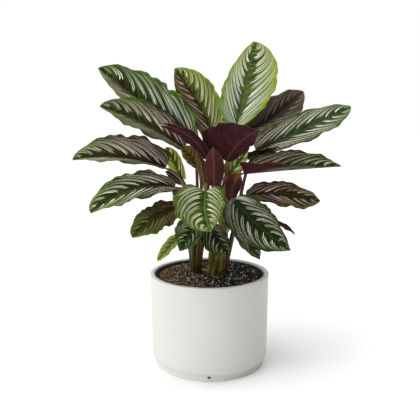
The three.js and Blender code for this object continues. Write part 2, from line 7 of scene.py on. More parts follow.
import bmesh
import bpy
import numpy as np
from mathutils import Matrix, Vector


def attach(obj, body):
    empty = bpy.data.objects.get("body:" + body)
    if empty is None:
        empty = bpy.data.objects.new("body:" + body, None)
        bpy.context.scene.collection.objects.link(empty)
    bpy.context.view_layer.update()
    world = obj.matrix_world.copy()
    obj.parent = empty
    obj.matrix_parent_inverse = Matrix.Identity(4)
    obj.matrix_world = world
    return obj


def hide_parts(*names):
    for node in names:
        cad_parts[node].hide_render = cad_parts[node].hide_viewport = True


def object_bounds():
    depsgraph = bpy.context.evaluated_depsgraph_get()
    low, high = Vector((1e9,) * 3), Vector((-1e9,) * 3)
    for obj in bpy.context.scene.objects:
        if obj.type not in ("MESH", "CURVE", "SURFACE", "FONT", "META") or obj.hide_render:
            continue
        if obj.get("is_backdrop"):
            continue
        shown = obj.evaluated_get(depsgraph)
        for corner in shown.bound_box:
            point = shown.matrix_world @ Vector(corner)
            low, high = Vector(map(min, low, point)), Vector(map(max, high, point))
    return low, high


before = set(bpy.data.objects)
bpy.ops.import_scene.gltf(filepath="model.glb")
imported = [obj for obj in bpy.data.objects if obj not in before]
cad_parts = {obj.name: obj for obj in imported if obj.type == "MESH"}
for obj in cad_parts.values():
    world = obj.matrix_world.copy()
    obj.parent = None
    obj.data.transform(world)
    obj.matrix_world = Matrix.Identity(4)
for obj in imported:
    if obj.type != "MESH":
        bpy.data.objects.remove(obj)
cad_box = [list(corner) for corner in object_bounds()]

MM = 0.001

# ---- Sizes, as in the solids ----

POT_HEIGHT = 148
POT_TOP_RADIUS = 95
POT_LOW_RADIUS = 93
FOOT_RADIUS = 88
FOOT_HEIGHT = 9.5
LOW_EDGE_HEIGHT = 10.5
RIM_THICKNESS = 7.3
RIM_ROUND = 1.6
EDGE_TOP = FOOT_HEIGHT + LOW_EDGE_HEIGHT
RIM_ROUND_FOOT = POT_HEIGHT - RIM_ROUND
POT_FLOOR = 4
INNER_FOOT_RADIUS = 80
OVERFLOW_WIDTH = 6
OVERFLOW_HEIGHT = 4
OVERFLOW_Z = 6.3
NURSERY_TOP = 146
NURSERY_LIP_RADIUS = 86
NURSERY_LIP_HEIGHT = 9
NURSERY_WALL = 1.4
NURSERY_BAND_STEP = 2.2
NURSERY_BASE_RADIUS = 66
NURSERY_FOOT = POT_FLOOR + 0.3
NURSERY_BAND = NURSERY_TOP - NURSERY_LIP_HEIGHT
NURSERY_BAND_RADIUS = NURSERY_LIP_RADIUS - NURSERY_BAND_STEP
SOIL_EDGE = 142
SOIL_MIDDLE = 143
SOIL_RADIUS = 84.2
CLUMPS = {
    "stems_left": dict(x=-21, y=14, half_width=9, half_depth=9),
    "stems_right": dict(x=10, y=2, half_width=17, half_depth=11),
}
CLUMP_DIVIDE = 5  # leaves based left of this grow from the left clump
STALK_TIP_RADIUS = 1.8
STALK_FOOT_RADIUS = 4.6
STALK_FOOT_RISE = 1.5
SHOOT_FOOT = (2, -4, 148)
SHOOT_TIP = (-13, -6, 154)
SHOOT_RADIUS = 1.9
BASE_HALF = 1.6
TIP_HALF = 0.9

# Finer than in the solids.
BLADE_ROWS = 96
BLADE_COLUMNS = 44
BLADE_THICKNESS = 0.5
SCALLOP = 0.018  # in-plane bumps of the margin, for each millimetre of wave
STALK_SIDES = 16
STALK_STEPS = 44
TURN_SIDES = 180
CROWN_SIDES = 48
SOIL_RINGS = 90
SOIL_SIDES = 260

# Only in the looks.
WAVE_OFFSET = 2.2  # radians from the ripple of one margin to the other's
FINE_WAVE = 0.35  # second ripple, as a share of the first
LOBE_REACH = 0.07  # where the lobes at the base are longest, as a share of the blade
END_HALVES = (0.8, 0.5)
PLEAT_DEPTH = 0.34
GROOVE_WIDTH = 1.5
GROOVE_DEPTH = 0.5
RIDGE_HEIGHT = 1.1
SWELL_PLACE = 0.93  # the swelling below the blade, as shares of the stalk
SWELL_LENGTH = 0.035
SWELL_SIZE = 0.45
STALK_FLUTE = 0.04
STALK_OVERLAP = 2.5
# Heights above the soil, and shares of the clump's width.
CROWN_RINGS = ((-12, 1), (-4, 1.02), (0, 1), (4, 0.93), (8, 0.8), (9.5, 0.6), (10, 0.3))
FOOT_ROUND = 0.8
GRAIN_REACH = 81

# ---- Leaf table, as in the solids ----

LEFT, RIGHT = CLUMPS


def leaf(
    base, mid, tip, face, halves, fold=(35, 15), curl=15, twist=0, wave=3, waves=3,
    widest=(0.42, 0.42), blunt=(0.95, 0.95), heel=(0.5, 0.5), lobe=(4, 4),
    lean=0.85, climb=0.45, arch=0.35,
):
    """A leaf by three places on its midrib, the way its face looks and its two half widths.

    fold is how far its halves rise at the base and the tip, curl how much they level off and twist
    how far it turns, in degrees. wave is the height of its ripple, waves their number. widest,
    blunt, heel and lobe shape the outline of each half, and lean, climb and arch the stalk.
    """
    clump = LEFT if base[0] < CLUMP_DIVIDE else RIGHT
    return SimpleNamespace(**locals())


LEAVES = dict(
    upper_left=leaf((-31, 20, 367), (-103, 35, 414), (-177, 45, 470), (0, -0.8, 0.6), (24, 46),
        widest=(0.45, 0.5), heel=(0.5, 0.35), blunt=(0.9, 0.65), wave=3.5, waves=3.5),
    left_high=leaf((-40, 0, 346), (-100, -10, 384), (-166, -15, 411), (-0.1, -0.7, 0.7), (22, 36),
        fold=(40, 20), widest=(0.45, 0.55), blunt=(1, 0.7)),
    left_mid=leaf((-66, -35, 319), (-133, -55, 337), (-201, -60, 334), (-0.1, -0.75, 0.65), (12, 36),
        fold=(50, 20), widest=(0.4, 0.42), blunt=(0.9, 0.7), heel=(0.5, 0.3)),
    left_low=leaf((-51, -50, 292), (-111, -85, 294), (-170, -95, 261), (-0.1, -0.8, 0.6), (24, 26),
        fold=(40, 15), widest=(0.38, 0.55), blunt=(1, 0.45)),
    left_foot=leaf((-44, -60, 265), (-77, -85, 253), (-110, -100, 226), (-0.2, -0.85, 0.5), (26, 21),
        fold=(30, 15), widest=(0.45, 0.6), blunt=(0.95, 0.5)),
    left_small=leaf((-47, 10, 204), (-64, 5, 189), (-83, 0, 166), (-0.4, -0.7, 0.6), (11, 12),
        fold=(25, 10), blunt=(0.5, 0.5), wave=1),
    front_left=leaf((-18, -80, 249), (-28, -105, 231), (-42, -115, 210), (-0.1, -0.95, 0.3), (16, 24),
        fold=(20, 10), wave=1.5),
    front=leaf((-6, -100, 293), (-6, -125, 268), (2, -145, 244), (0, -0.85, 0.5), (30, 44), fold=(35, 10),
        widest=(0.3, 0.34), lobe=(10, 8), wave=2),
    front_right=leaf((-1, -70, 240), (15, -95, 220), (29, -105, 201), (0.1, -0.95, 0.3), (14, 24),
        fold=(20, 10), wave=1.5),
    right_low=leaf((36, -70, 277), (68, -95, 245), (115, -115, 211), (0.1, -0.9, 0.5), (30, 38),
        fold=(25, 10), wave=2.5, arch=0.12),
    right_behind=leaf((69, 20, 238), (113, 10, 224), (137, 10, 207), (0.3, 0.6, 0.8), (9, 9), fold=(20, 10),
        wave=1),
    right_under=leaf((41, -20, 226), (58, -40, 205), (77, -50, 181), (0.2, -0.8, 0.5), (20, 13),
        fold=(25, 10), wave=1.5),
    right_mid=leaf((57, -20, 274), (110, -40, 281), (167, -45, 271), (0, -0.8, 0.6), (20, 24),
        fold=(35, 12), widest=(0.42, 0.66), blunt=(0.8, 0.7), heel=(0.5, 0.7)),
    right_high=leaf((52, -35, 311), (129, -50, 319), (197, -45, 323), (0, -0.15, 1), (40, 22),
        fold=(62, 38), twist=-34, widest=(0.3, 0.12), blunt=(0.85, 1.3), heel=(0.5, 0.25), lobe=(4, 10),
        wave=2, waves=3.5),
    upper_right=leaf((73, 0, 341), (146, 5, 375), (218, 5, 411), (0, -0.85, 0.5), (28, 23), fold=(35, 12),
        widest=(0.42, 0.62), heel=(0.2, 0.5), blunt=(0.8, 0.5), lean=1.1, arch=0.12),
    back_right=leaf((56, 50, 368), (108, 65, 393), (155, 80, 434), (0, -0.8, 0.6), (32, 30),
        widest=(0.55, 0.5), blunt=(0.6, 0.7)),
    top=leaf((43, 35, 380), (59, 45, 445), (70, 40, 511), (-0.05, -1, 0.2), (37, 47), fold=(30, 8),
        widest=(0.28, 0.6), blunt=(0.85, 0.5), heel=(0.5, 0.75), wave=1.5),
    top_left=leaf((3, 45, 373), (-23, 60, 426), (-56, 60, 470), (0.1, -0.95, 0.3), (26, 34), fold=(30, 15),
        widest=(0.6, 0.45), heel=(0.15, 0.35), blunt=(0.9, 0.75), lobe=(18, 5), wave=2, arch=0.12),
    centre_right=leaf((26, -40, 330), (43, -60, 358), (72, -70, 379), (0.2, 0.9, 0.5), (18, 50),
        fold=(20, 10), widest=(0.55, 0.3), heel=(0.5, 0.35), blunt=(0.8, 1.5), lobe=(2, 8), waves=2.5),
    centre_left=leaf((-2, -46, 332), (-28, -60, 368), (-75, -68, 387), (-0.1, 0.8, 0.6), (9, 14),
        fold=(30, 15), widest=(0.45, 0.35), lobe=(1, 1), wave=2),
    furled_left=leaf((7, -72, 297), (7, -77, 326), (5, -80, 354), (0.1, 1, 0.1), (17, 18), fold=(42, 38),
        wave=1.5),
    furled_right=leaf((33, -46, 272), (35, -50, 292), (45, -52, 313), (0.1, 1, 0.1), (15, 16),
        fold=(45, 45), widest=(0.62, 0.62), blunt=(0.7, 0.7), wave=1.5),
    shaded_right=leaf((58, -11, 333), (84, -13.7, 340), (106, -17.2, 351), (0, 0.6, 0.8), (11.5, 12),
        fold=(20, 10), widest=(0.25, 0.15), wave=1),
    inner_right=leaf((29, -20, 305), (42, -20, 323), (59, -20, 345), (0.1, -0.95, 0.3), (13, 14),
        fold=(35, 30), wave=1.5),
    inner_left=leaf((-42, 10, 295), (-56, 20, 321), (-69, 25, 346), (0.1, -0.95, 0.3), (12, 13),
        fold=(30, 20), widest=(0.55, 0.6), blunt=(0.6, 0.6), wave=1.5),
    rear_left=leaf((-29, 60, 355), (-51, 120, 399), (-78, 175, 426), (0.1, 0.5, 0.9), (24, 24)),
    rear_right=leaf((50, 60, 363), (74, 125, 392), (96, 185, 404), (-0.1, 0.5, 0.9), (26, 24)),
    rear=leaf((10, 70, 337), (15, 130, 378), (31, 200, 386), (0, 0.5, 0.9), (28, 28)),
    rear_low_left=leaf((-27, 62, 262), (-44, 100, 264), (-62, 140, 240), (-0.1, 0.4, 0.9), (19, 20)),
    rear_low_right=leaf((34, 58, 248), (48, 98, 250), (62, 142, 222), (0.1, 0.4, 0.9), (21, 20)),
    inner_small=leaf((-19, -5, 317), (-30, -8, 333), (-43, -12, 348), (0.1, -0.9, 0.4), (10, 15),
        lobe=(1, 1), widest=(0.5, 0.62), blunt=(0.6, 0.6), wave=1.5),
    rolled_left=leaf((-6, -56, 294), (-11, -60, 322), (-18, -64, 348), (0.1, 1, 0.1), (8, 8), lobe=(1, 1),
        fold=(45, 40), widest=(0.5, 0.5), wave=1),
    furled_low=leaf((-43, -12, 291), (-55, -14, 303), (-68, -16, 312), (-0.2, 0.9, 0.4), (9, 8),
        lobe=(1, 1), fold=(35, 30), wave=1),
)

# ---- Looks of the leaves ----


def look(
    dark="20260d", green="455325", edge="5d7a26", inner="ded2c4", outer="b9c08f", left=None,
    pairs=8, wide=0.055, apart=0.24, lag=0.52, bend=0.45, start=0.06, blot=1, tip=(0.8, 1),
    border=5, rib="47562c", ribbed=0.4, threads=0.1, seam=("3a2c1a", 0.3), base=None, root=None,
    sheen=None, under="40181a", under_tip=None, under_from=(0.55, 0.95),
):
    """How a leaf looks.

    dark and green are the ground beside the midrib and further out, edge the margin, inner and
    outer the two ends of a pale line, and left the colours that differ left of the midrib, seen
    from above with the tip ahead: partly that half's own tint, partly painted light and shade for
    the way that half faces the light. Each half has pairs of lines, wide and apart as shares of a
    pair. lag is how far forward a vein runs to reach the margin, bend how late it turns forward,
    start where a line begins, blot how much it swells near the rib, tip where the lines die out
    and border the margin's width. ribbed and threads say how plain the rib and the finest lines
    are, seam the colour between them. base and root are a colour for the ground, or for all, and
    where it fades out. sheen is a highlight painted into the colour: the place, half width,
    strength and side of its pale patch. under turns to under_tip along under_from.
    """
    return SimpleNamespace(**locals())


LOOKS = dict(
    upper_left=look("141b06", "3d5a18", "4b6d16", "fbf8f0", "edf3d2", wide=0.06, lag=0.58, threads=0.04,
        blot=0.9, seam=("3f2a1a", 0.8), sheen=(0.06, 0.032, 1, 1),
        left=dict(green="858466", dark="45412b", inner="cbbfb4", outer="b5b29a", edge="7c8058")),
    left_high=look("1e1b0a", "495022", "4c6a19", "f2eadc", "cccaa6", wide=0.066, apart=0.28, lag=0.6,
        threads=0.08, border=4, base=("33261c", 0, 0.45), seam=("3a2a1c", 0.6),
        left=dict(green="697047", dark="282915", inner="bbb898", outer="a2a97d")),
    left_mid=look("20190f", "414d22", "4a6720", "ffece2", "dcdab6", wide=0.068, apart=0.3, lag=0.6,
        threads=0.04, blot=0.4, base=("2e1a16", 0, 0.65), seam=("3a2620", 0.6),
        left=dict(green="848b66", dark="4a4b34", inner="c3beab", outer="b9bda0", edge="7f8b5c")),
    left_low=look("1e1f09", "42561a", "557c1a", "fffae6", "e0e9bc", wide=0.065, lag=0.62, threads=0.04,
        border=6, base=("2f2414", 0, 0.6), seam=("3f3018", 0.5)),
    left_foot=look(dark="221808", green="4a5220", inner="a88f70", outer="97a062", wide=0.045, lag=0.68,
        base=("381c10", 0, 0.7)),
    left_small=look("3c4016", "74822f", "90a343", "c4c288", "a3ae5c", pairs=5),
    # front_left and front_right are darker partly as painted shade, from the front leaf above them.
    front_left=look("101a06", "1f310c", "4a6221", "d6d8b8", "a4ae7e", pairs=6, wide=0.05, lag=0.62,
        bend=0.7, threads=0.06, blot=0.5, border=3),
    front=look("253e0d", "445616", "445f18", "f8f8d2", "ebf2b6", rib="5d8236", ribbed=0.85, wide=0.085,
        apart=0.28, lag=0.6, bend=0.8, start=0.04, blot=0.3, border=6, tip=(0.74, 0.93),
        seam=("2c1f0c", 0.8)),
    front_right=look("0c0b03", "1d290a", "354615", "d4d0b0", "aeb482", pairs=6, wide=0.05, lag=0.62,
        bend=0.7, threads=0.06, blot=0.5, border=3),
    right_low=look("0e1907", "25380f", "2a4213", "f6eadc", "e2e9c8", wide=0.05, apart=0.26, lag=0.62,
        bend=0.8, threads=0.02, blot=0.1, border=3, sheen=(-0.2, 0.22, 0.5, 0)),
    right_under=look(dark="221f0e", green="343a1c", edge="4a5527", pairs=6),
    right_mid=look("150d05", "403518", "4f5c22", "d8bcb0", "c0b898", pairs=7, wide=0.065, lag=0.62,
        threads=0.06, border=4.5, base=("2c1810", 0, 0.6), seam=("2a1a10", 0.5)),
    right_high=look("141606", "38431c", "415617", "b5a48c", "dadbb4", pairs=7, lag=0.68, threads=0.02,
        border=4, base=("150c08", 0.15, 0.8), seam=("2a1a10", 0.5), under="4c1e26", under_tip="6a7250",
        under_from=(0.08, 0.27)),
    upper_right=look("22321c", "4c5c30", "56723a", "fff9ee", "f0f6da", pairs=9, wide=0.075, lag=0.62,
        threads=0.06, blot=0.8, border=4, base=("3c3a1e", 0, 0.35), seam=("3a3018", 0.5)),
    back_right=look("251c18", "544b3c", "56563f", "b8a092", "a8a288", lag=0.78, threads=0.08, blot=0.2),
    top=look("1c2c08", "8ba04c", "9aae20", "ffffff", "ffffe0", rib="3f7a2c", ribbed=0.9, pairs=10,
        wide=0.108, apart=0.3, lag=0.62, bend=0.5, start=0.04, threads=0.06, blot=0.6, border=11,
        seam=("3a401a", 0.9), left=dict(edge="6f8a34")),
    top_left=look("2e3510", "768a34", "8ca13d", "ece8c2", "e6eea8", wide=0.08, lag=0.56, threads=0.2,
        seam=("4a3f1c", 0.7),
        left=dict(green="5f5335", dark="241a10", edge="55502a", inner="ccac9e", outer="b6a48a")),
    # inner_left and inner_right are pale yellow-green partly as young leaves, partly as painted light
    # shining through them.
    inner_left=look("262e07", "798921", "b9cc4d", "ffffb9", "fcff97", pairs=4, wide=0.12,
        left=dict(green="afc63e", dark="8ca329", outer="edf190")),
    inner_right=look("64752a", "9caf48", "9aac46", "f8fcdc", "e6f0b4", pairs=4, wide=0.14,
        root=("7a5c1c", 0, 0.35)),
    inner_small=look("3a2c10", "5f4d1c", "6f6a2a", "a8925a", "8f7f44", pairs=5),
    # centre_left's pale under_tip is partly its curled-over tip, partly a painted highlight.
    centre_left=look(inner="ceb09d", outer="aca172", under="341215", under_tip="b4baa8",
        under_from=(0.87, 0.95)),
    centre_right=look(under="3c1619", under_tip="46191f"),
    furled_left=look(inner="dec8a7", outer="b9b67a", under="52221b", under_tip="622b27"),
    furled_right=look(under="4c1d17", under_tip="7c4a20"),
    rolled_left=look(under="5f4a1c", under_tip="45181a"),
    furled_low=look(under="3c1c18", under_tip="54362a"),
)

PLAIN_LOOK = look()
STALK_COLOURS = {LEFT: ("3a2910", "5f541c"), RIGHT: ("482f15", "aeab4c")}
WARM_EDGE = (-0.04, 0.02)  # metres across, where the soil turns from browner to greyer
GRAINS = dict(
    grit=dict(
        count=1300, sizes=(0.9, 2.2), sink=0.15, seed=11, rough=0.8,
        colours=["242523", "a09d94", "3c3c38", "cdc9ba", "656054", "141413"],
    ),
    crumbs=dict(
        count=900, sizes=(0.7, 2.2), sink=0.1, seed=23, rough=0.95,
        colours=["191613", "3f3a32", "100e0c", "524a3e", "28241e"],
    ),
)


def tone(code):
    """A colour code as the linear values that shaders take."""
    parts = [int(code[i:i + 2], 16) / 255 for i in (0, 2, 4)]
    linear = [p / 12.92 if p < 0.04045 else ((p + 0.055) / 1.055) ** 2.4 for p in parts]
    return (*linear, 1)


# ---- Meshes ----


def mesh_object(name, points, faces, materials, maps=None, slots=None, smooth=True):
    """A mesh from points in millimetres. maps gives each UV map one row for each point."""
    mesh = bpy.data.meshes.new(name)
    mesh.from_pydata((np.asarray(points, float) * MM).tolist(), [], faces)
    corners = np.empty(len(mesh.loops), np.int32)
    mesh.loops.foreach_get("vertex_index", corners)
    for label, values in (maps or {}).items():
        layer = mesh.uv_layers.new(name=label)
        layer.data.foreach_set("uv", np.asarray(values, np.float32)[corners].ravel())
    if slots is not None:
        mesh.polygons.foreach_set("material_index", np.asarray(slots, np.int32))
    mesh.polygons.foreach_set("use_smooth", np.full(len(mesh.polygons), smooth))
    for material in materials:
        mesh.materials.append(material)
    mesh.update()
    return stand(name, mesh)


def stand(name, data):
    """A new object in the scene that holds the mesh, camera or lamp."""
    made = bpy.data.objects.new(name, data)
    bpy.context.scene.collection.objects.link(made)
    return made


def grid_faces(rows, columns, first=0, closed=False, flip=False):
    """Quads of a grid of points laid row by row. A closed grid joins its last column to its first."""
    wide = columns if closed else columns + 1
    quads = []
    for row in range(first, first + rows * wide, wide):
        for j in range(columns):
            a, b = row + j, row + (j + 1) % wide
            quads.append((a, b, b + wide, a + wide))
    return [quad[::-1] for quad in quads] if flip else quads


def capped_faces(rings, sides):
    """Faces of closed rings with a fan at each end. The fans' middles are the last two points."""
    foot, last = rings * sides, (rings - 1) * sides
    faces = grid_faces(rings - 1, sides, closed=True)
    faces += [(foot, (j + 1) % sides, j) for j in range(sides)]
    faces += [(foot + 1, last + j, last + (j + 1) % sides) for j in range(sides)]
    return faces


def once_round(sides):
    """Angles of points spread evenly round a circle."""
    return 2 * np.pi * np.arange(sides) / sides


def ring(radius, height, sides):
    """A level circle of points about the vertical axis."""
    angle = once_round(sides)
    return np.stack([radius * np.cos(angle), radius * np.sin(angle), np.full(sides, height)], -1)


def unit(vectors):
    vectors = np.asarray(vectors, float)
    return vectors / np.linalg.norm(vectors, axis=-1, keepdims=True)


# ---- Leaves ----


def midrib(leaf, s):
    """Points and directions of the midrib, a quadratic curve through base, mid and tip."""
    base, mid, tip = (np.array(place, float) for place in (leaf.base, leaf.mid, leaf.tip))
    bend = 2 * mid - (base + tip) / 2
    s = np.asarray(s, float)[..., None]
    places = (1 - s) ** 2 * base + 2 * s * (1 - s) * bend + s**2 * tip
    along = unit(2 * (1 - s) * (bend - base) + 2 * s * (tip - bend))
    return places, along


def square_to(direction, axis):
    """The direction with what runs along the axis taken out."""
    return unit(direction - (direction * axis).sum(-1, keepdims=True) * axis)


def outline(s, widest, heel, blunt):
    """Half width as a share of the widest: rounded at the base, drawn out at the tip."""
    near = s < widest
    u = np.where(near, (widest - s) / widest, (s - widest) / (1 - widest))
    return np.clip(1 - u * u, 0, 1) ** np.where(near, heel, blunt)


def half_widths(leaf, s, k):
    """Half widths of the blade's half k, never under the midrib's own."""
    shape = outline(s, leaf.widest[k], leaf.heel[k], leaf.blunt[k])
    rib = BASE_HALF + (TIP_HALF - BASE_HALF) * s
    return np.hypot(leaf.halves[k] * shape, rib)[:, None]


def blade_frame(leaf, s):
    """Points of the midrib, and the directions along, up from and across the blade there."""
    places, along = midrib(leaf, s)
    chord = unit(np.subtract(leaf.tip, leaf.base))
    up = square_to(square_to(np.array(leaf.face, float), chord), along)
    across = np.cross(along, up)
    turn = np.radians(leaf.twist) * (s - 0.5)[:, None]
    turned = up * np.cos(turn) - across * np.sin(turn)
    return places, along, turned, across * np.cos(turn) + up * np.sin(turn)


def blade_rows(leaf, s, t):
    """Points of the blade's middle surface, one row for each s, and the half widths there."""
    places, along, up, across = blade_frame(leaf, s)
    reach = np.abs(t)[None, :]
    right = (t > 0)[None, :]
    rows = s[:, None]
    half = np.where(right, half_widths(leaf, s, 1), half_widths(leaf, s, 0))
    fold = leaf.fold[0] + (leaf.fold[1] - leaf.fold[0]) * (1 - (1 - rows) ** 2)
    lift = np.radians(fold) - np.radians(leaf.curl) * reach / 2
    edge = np.sqrt(np.clip(np.sin(np.pi * rows), 0, 1)) * reach**2
    turns = 2 * np.pi * leaf.waves * (rows - 0.25 * reach) + np.where(right, 0, WAVE_OFFSET)
    ripple = leaf.wave * edge * np.sin(turns)
    ripple = ripple + FINE_WAVE * leaf.wave * edge * reach * np.sin(2.7 * turns + 1)
    bumps = np.sin(1.35 * turns + 0.7) + 0.5 * np.sin(3.1 * turns)
    half = half * (1 + SCALLOP * leaf.wave * edge * reach * bumps)
    lobe = np.where(right, leaf.lobe[1], leaf.lobe[0])
    back = lobe * (rows / LOBE_REACH) * np.exp(1 - rows / LOBE_REACH) * reach**2
    points = (
        places[:, None, :]
        + across[:, None, :] * (t[None, :] * half * np.cos(lift))[..., None]
        + up[:, None, :] * (reach * half * np.sin(lift) + ripple)[..., None]
        - along[:, None, :] * back[..., None]
    )
    return points, half


def shrunk(row, end, half):
    """A small copy of a row about the blade's end."""
    share = 2 * half / np.linalg.norm(row[0] - row[-1])
    return end + (row - end) * share


def grid_normals(points):
    """Directions square to a sheet. Each end row takes its neighbour's middle one."""
    ahead = np.gradient(points, axis=0)
    right = np.gradient(points, axis=1)
    normals = unit(np.cross(right, ahead))
    middle = points.shape[1] // 2
    for end, inner in ((0, 1), (-1, -2)):
        normals[end] = normals[inner, middle]
    return normals


def vein_places(s, t, lag, bend):
    """Where on the midrib the side vein through each point leaves it. Veins run out and forward."""
    reach = np.abs(t)[None, :]
    bow = (1 - bend) * reach + bend * reach**2
    place = np.repeat(s[:, None], len(t), axis=1)
    for _ in range(12):
        drift = lag * np.clip(1 - place, 0, 1) ** 0.6 * bow
        place = 0.5 * place + 0.5 * (s[:, None] - drift)
    return place


def whole_sheet(leaf, s, t):
    """The middle surface with a small row at each end, and the half widths."""
    inner, half = blade_rows(leaf, s[1:-1], t)
    first, last = END_HALVES
    start, stop = shrunk(inner[0], leaf.base, first), shrunk(inner[-1], leaf.tip, last)
    sheet = np.concatenate([start[None], inner, stop[None]])
    return sheet, np.concatenate([half[:1] * 0 + first, half, half[-1:] * 0 + last])


def rim_loop(rows, columns):
    """The points along the edge of a sheet, in order."""
    wide = columns + 1
    right = [i * wide + columns for i in range(rows)]
    far = [rows * wide + j for j in range(columns, 0, -1)]
    return [*range(columns), *right, *far, *(i * wide for i in range(rows, 0, -1))]


def blade_faces():
    """Faces of the two sheets and the band that joins them, and each one's material."""
    rows, columns = BLADE_ROWS, BLADE_COLUMNS
    under = (rows + 1) * (columns + 1)
    loop = rim_loop(rows, columns)
    faces = grid_faces(rows, columns) + grid_faces(rows, columns, under, flip=True)
    faces += [(a, a + under, b + under, b) for a, b in zip(loop, loop[1:] + loop[:1])]
    return faces, [0] * rows * columns + [1] * rows * columns + [0] * len(loop)


def blade(name, leaf, look, materials):
    """One leaf: two sheets with pleats along their veins and a ribbed midrib, joined at the rim."""
    s = (1 - np.cos(np.pi * np.arange(BLADE_ROWS + 1) / BLADE_ROWS)) / 2
    t = np.linspace(-1, 1, BLADE_COLUMNS + 1)
    t = 0.75 * t + 0.25 * t**3
    sheet, half = whole_sheet(leaf, s, t)
    normals = grid_normals(sheet)
    place = vein_places(s, t, look.lag, look.bend)
    reach = np.abs(t)[None, :]
    from_rib, from_edge = reach * half, (1 - reach) * half
    belly = np.clip(from_rib / 8, 0, 1) * np.clip(from_edge / 6, 0.15, 1)
    waves = place * look.pairs * 2 + 0.3 * np.sign(t)[None, :]
    pleat = PLEAT_DEPTH * belly * np.cos(2 * np.pi * waves)
    groove = np.exp(-((from_rib / GROOVE_WIDTH) ** 2))
    taper = (1 - 0.75 * s)[:, None]
    thick = BLADE_THICKNESS / 2 * np.clip(from_edge / 1.2 + 0.3, 0.3, 1)
    upper = sheet + normals * (pleat + thick - GROOVE_DEPTH * groove * taper)[..., None]
    lower = sheet + normals * (pleat - thick - RIDGE_HEIGHT * groove * taper)[..., None]
    points = np.concatenate([upper.reshape(-1, 3), lower.reshape(-1, 3)])
    faces, slots = blade_faces()
    vein = np.stack([place, np.broadcast_to(t, place.shape)], -1).reshape(-1, 2)
    size = np.stack([from_rib, from_edge], -1).reshape(-1, 2)
    maps = {"vein": np.tile(vein, (2, 1)), "reach": np.tile(size, (2, 1))}
    return mesh_object(name, points, faces, materials, maps, slots)


# ---- Stalks ----


def seat(shape, leaf):
    """A stalk's place in its clump, by the order of the leaves that the clump carries."""
    mates = [other for other in LEAVES.values() if other.clump == leaf.clump]
    ranks = [sum(other.base[axis] < leaf.base[axis] for other in mates) for axis in (0, 1)]
    place = np.array([2 * rank / (len(mates) - 1) - 1 for rank in ranks])
    place = place / max(1, np.linalg.norm(place))
    return np.array([
        shape["x"] + place[0] * (shape["half_width"] - STALK_FOOT_RADIUS),
        shape["y"] + place[1] * (shape["half_depth"] - STALK_FOOT_RADIUS),
        SOIL_MIDDLE + STALK_FOOT_RISE,
    ])


def stalk_line(shape, leaf, u):
    """Points of a stalk from its clump to just inside its blade, a cubic curve."""
    base, foot = np.array(leaf.base, float), seat(shape, leaf)
    along = midrib(leaf, [0])[1][0]
    span = np.linalg.norm(base - foot)
    out = (base - foot) / span
    rise = unit([out[0] * leaf.lean, out[1] * leaf.lean, 1])
    end = base + along * STALK_OVERLAP
    first = foot + rise * span * leaf.climb
    last = end - along * span * leaf.arch
    u = u[:, None]
    return (1 - u) ** 3 * foot + 3 * u * (1 - u) ** 2 * first + 3 * u**2 * (1 - u) * last + u**3 * end


def tube(line, radii, sides, flute=0):
    """Points of a tube round a line, with shallow flutes along it, ring by ring."""
    along = unit(np.gradient(line, axis=0))
    side = np.array([1.0, 0, 0])
    angle = once_round(sides)
    rings = []
    for place, way, radius in zip(line, along, radii):
        side = unit(side - side.dot(way) * way)
        wide = radius * (1 + flute * np.cos(4 * angle))
        out = np.outer(wide * np.cos(angle), side)
        rings.append(place + out + np.outer(wide * np.sin(angle), np.cross(way, side)))
    return np.array(rings)


def gather(parts):
    """Joins (points, faces, maps) parts into one set of lists."""
    points, faces, maps = [], [], {}
    first = 0
    for part_points, part_faces, part_maps in parts:
        points.append(part_points)
        faces += [tuple(v + first for v in face) for face in part_faces]
        for label, values in part_maps.items():
            maps.setdefault(label, []).append(values)
        first += len(part_points)
    return np.concatenate(points), faces, {k: np.concatenate(v) for k, v in maps.items()}


def tube_part(rings, seed):
    """A closed tube with maps: place round and along it, and its seed and height in metres."""
    steps, sides = rings.shape[:2]
    points = np.concatenate([rings.reshape(-1, 3), rings[:1].mean(1), rings[-1:].mean(1)])
    around = np.tile(np.arange(sides) / sides, steps)
    grain = np.stack([around, np.repeat(np.linspace(0, 1, steps), sides)], -1)
    grain = np.concatenate([grain, [[0, 0], [0, 1]]])
    own = np.stack([np.full(len(points), seed), points[:, 2] * MM], -1)
    return points, capped_faces(steps, sides), {"grain": grain, "own": own}


def stalk_part(shape, leaf, number):
    """A stalk that thins upwards and swells a little just below its blade."""
    u = np.linspace(0, 1, STALK_STEPS + 1)
    line = stalk_line(shape, leaf, u)
    radii = STALK_TIP_RADIUS + (STALK_FOOT_RADIUS - STALK_TIP_RADIUS) * (1 - u) ** 1.5
    swell = SWELL_SIZE * np.exp(-(((u - SWELL_PLACE) / SWELL_LENGTH) ** 2))
    radii = radii + swell - 0.9 * np.clip((u - 0.96) / 0.04, 0, 1)
    return tube_part(tube(line, radii, STALK_SIDES, STALK_FLUTE), number * 0.37 % 1)


def clump(name, shape, material):
    """Every stalk of a clump and the sheathing crown that they grow from."""
    parts = [stalk_part(shape, leaf, n) for n, leaf in enumerate(LEAVES.values()) if leaf.clump == name]
    parts.append(crown_part(shape))
    if name == RIGHT:
        parts.append(shoot_part())
    points, faces, maps = gather(parts)
    return mesh_object(name + "_stalks", points, faces, [material], maps)


def crown_part(shape):
    """The swollen, bumpy foot that a clump's stalks grow from."""
    angle = once_round(CROWN_SIDES)
    bumps = 1 + 0.05 * np.cos(7 * angle) + 0.04 * np.cos(3 * angle + 1)
    rings = np.array([
        np.stack([
            shape["x"] + shape["half_width"] * grow * bumps * np.cos(angle),
            shape["y"] + shape["half_depth"] * grow * bumps * np.sin(angle),
            np.full(CROWN_SIDES, SOIL_MIDDLE + height),
        ], -1)
        for height, grow in CROWN_RINGS
    ])
    return tube_part(rings, 0.1)


